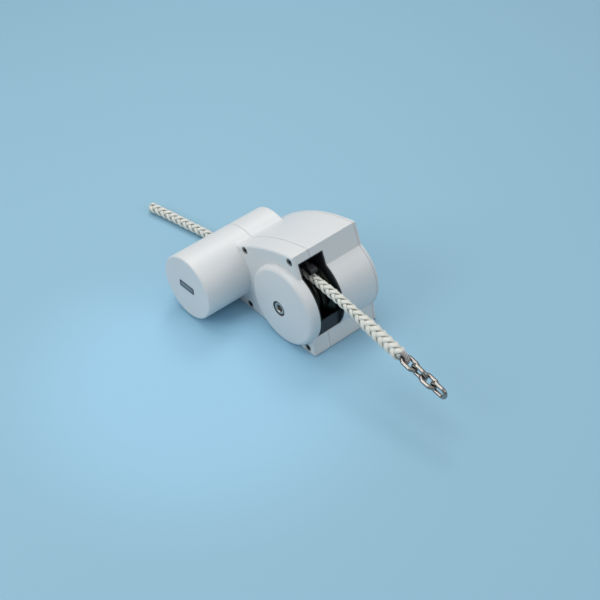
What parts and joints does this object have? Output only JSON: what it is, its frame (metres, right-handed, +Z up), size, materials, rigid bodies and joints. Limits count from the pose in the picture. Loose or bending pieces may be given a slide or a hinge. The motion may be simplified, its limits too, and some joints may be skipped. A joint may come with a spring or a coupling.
{
  "type": "anchor windlass",
  "caption": "Horizontal anchor windlass: rope and chain gypsy in a moulded case, cone clutch, spur gearbox and electric motor, with rode leading through it.",
  "frame": {"origin": "on the deck under the gasket, straight below the main shaft's axis, in the middle plane of the rope", "axes": "+X forward, the way the rope and chain leave for the bow; +Y along the main shaft, from the clutch side to the gearbox side; +Z up"},
  "size_m": [0.6595, 0.2001, 0.1563],
  "materials": {
    "white_casing": "semi-gloss white, faintly blue",
    "stainless_screws": "plain stainless",
    "black_nylon": "satin black moulding",
    "black_rubber": "dull black rubber",
    "paper_seal": "pressed fibre sheet",
    "bronze": "cast bronze",
    "bearing_bronze": "plain bearing bronze",
    "ground_steel": "ground steel",
    "gear_steel": "hobbed steel, oiled",
    "spring_steel": "spring steel",
    "chromed_nut": "polished",
    "motor_paint": "black baked paint",
    "cast_aluminium": "as cast",
    "brass_studs": "turned brass",
    "ferrite": "dark ceramic magnet",
    "lamination_steel": "stacked sheet",
    "enamelled_copper": "enamelled copper wire",
    "commutator_copper": "turned copper",
    "carbon": "pressed carbon",
    "brown_moulding": "brown thermoset",
    "white_rope": "braided polyester",
    "stainless_chain": "stainless chain"
  },
  "bodies": {
    "casing": {"near_casing": "white_casing", "motor_cover": "white_casing", "far_casing": "white_casing", "gearbox_cover": "white_casing", "gearbox_seal": "paper_seal", "gearbox_cover_screws": "stainless_screws", "casing_screws": "stainless_screws", "base_gasket": "black_rubber", "fairlead_liner": "black_nylon", "stripper": "black_nylon", "nut_seal": "black_rubber", "shaft_lip_seal": "black_rubber", "main_bearing": "ground_steel", "shaft_bushes": "bearing_bronze", "motor_can": "motor_paint", "drive_end_bell": "cast_aluminium", "rear_end_bell": "cast_aluminium", "motor_terminals": "brass_studs", "motor_bearings": "ground_steel", "field_magnets": "ferrite", "carbon_brushes": "carbon", "brush_holder": "brown_moulding", "motor_screws": "stainless_screws", "arm_pin": "stainless_screws", "arm_spring": "spring_steel", "cable_gland": "black_nylon", "gland_nut": "black_nylon", "gland_insert": "black_rubber", "rope_front": "white_rope", "rope_wrap": "white_rope", "rope_tail": "white_rope", "rope_splice": "white_rope", "chain_link_1": "stainless_chain", "chain_link_2": "stainless_chain", "chain_link_3": "stainless_chain", "chain_link_4": "stainless_chain"},
    "main_shaft": {"main_shaft": "ground_steel", "shaft_keys": "ground_steel", "final_gear": "gear_steel", "inner_clutch_cone": "bronze", "retaining_ring": "spring_steel"},
    "gypsy": {"gypsy": "bronze", "gypsy_bush": "bearing_bronze"},
    "second_layshaft": {"second_shaft": "ground_steel", "second_gear": "gear_steel"},
    "first_layshaft": {"first_shaft": "ground_steel", "first_gear": "gear_steel"},
    "motor_rotor": {"motor_shaft": "ground_steel", "armature_core": "lamination_steel", "armature_windings": "enamelled_copper", "commutator": "commutator_copper", "motor_pinion": "ground_steel"},
    "outer_clutch_cone": {"outer_clutch_cone": "bronze", "disc_spring": "spring_steel"},
    "clutch_nut": {"clutch_nut": "chromed_nut"},
    "pressure_arm": {"pressure_arm": "black_nylon"}
  },
  "joints": [
    {"name": "shaft_spin", "type": "hinge", "parent": "casing", "child": "main_shaft", "pos_m": [0, 0, 0.0642], "axis": [0, -1, 0], "continuous": true},
    {"name": "gypsy_spin", "type": "hinge", "parent": "casing", "child": "gypsy", "pos_m": [0, 0, 0.0642], "axis": [0, -1, 0], "continuous": true},
    {"name": "second_layshaft_spin", "type": "hinge", "parent": "casing", "child": "second_layshaft", "pos_m": [-0.06051, 0, 0.07772], "axis": [0, -1, 0], "continuous": true},
    {"name": "first_layshaft_spin", "type": "hinge", "parent": "casing", "child": "first_layshaft", "pos_m": [-0.09578, 0, 0.04979], "axis": [0, -1, 0], "continuous": true},
    {"name": "motor_spin", "type": "hinge", "parent": "casing", "child": "motor_rotor", "pos_m": [-0.1328, 0, 0.0558], "axis": [0, -1, 0], "continuous": true},
    {"name": "cone_slide", "type": "slide", "parent": "main_shaft", "child": "outer_clutch_cone", "axis": [0, -1, 0], "range_m": [0, 0.001]},
    {"name": "nut_turn", "type": "hinge", "parent": "outer_clutch_cone", "child": "clutch_nut", "pos_m": [0, 0, 0.0642], "axis": [0, -1, 0], "range_deg": [0, 180]},
    {"name": "arm_swing", "type": "hinge", "parent": "casing", "child": "pressure_arm", "pos_m": [-0.016, 0, 0.129], "axis": [0, -1, 0], "range_deg": [0, 10], "stiffness_Nm_per_rad": 1.5, "springref_deg": -17.19, "deforming": ["arm_spring"]}
  ],
  "couplings": [
    {"joint": "gypsy_spin", "follows": "shaft_spin", "ratio": 1},
    {"joint": "second_layshaft_spin", "follows": "shaft_spin", "ratio": -4.1667},
    {"joint": "first_layshaft_spin", "follows": "shaft_spin", "ratio": 16.667},
    {"joint": "motor_spin", "follows": "shaft_spin", "ratio": -66.667},
    {"joint": "nut_turn", "follows": "cone_slide", "rad_per_m": 3141.6}
  ]
}
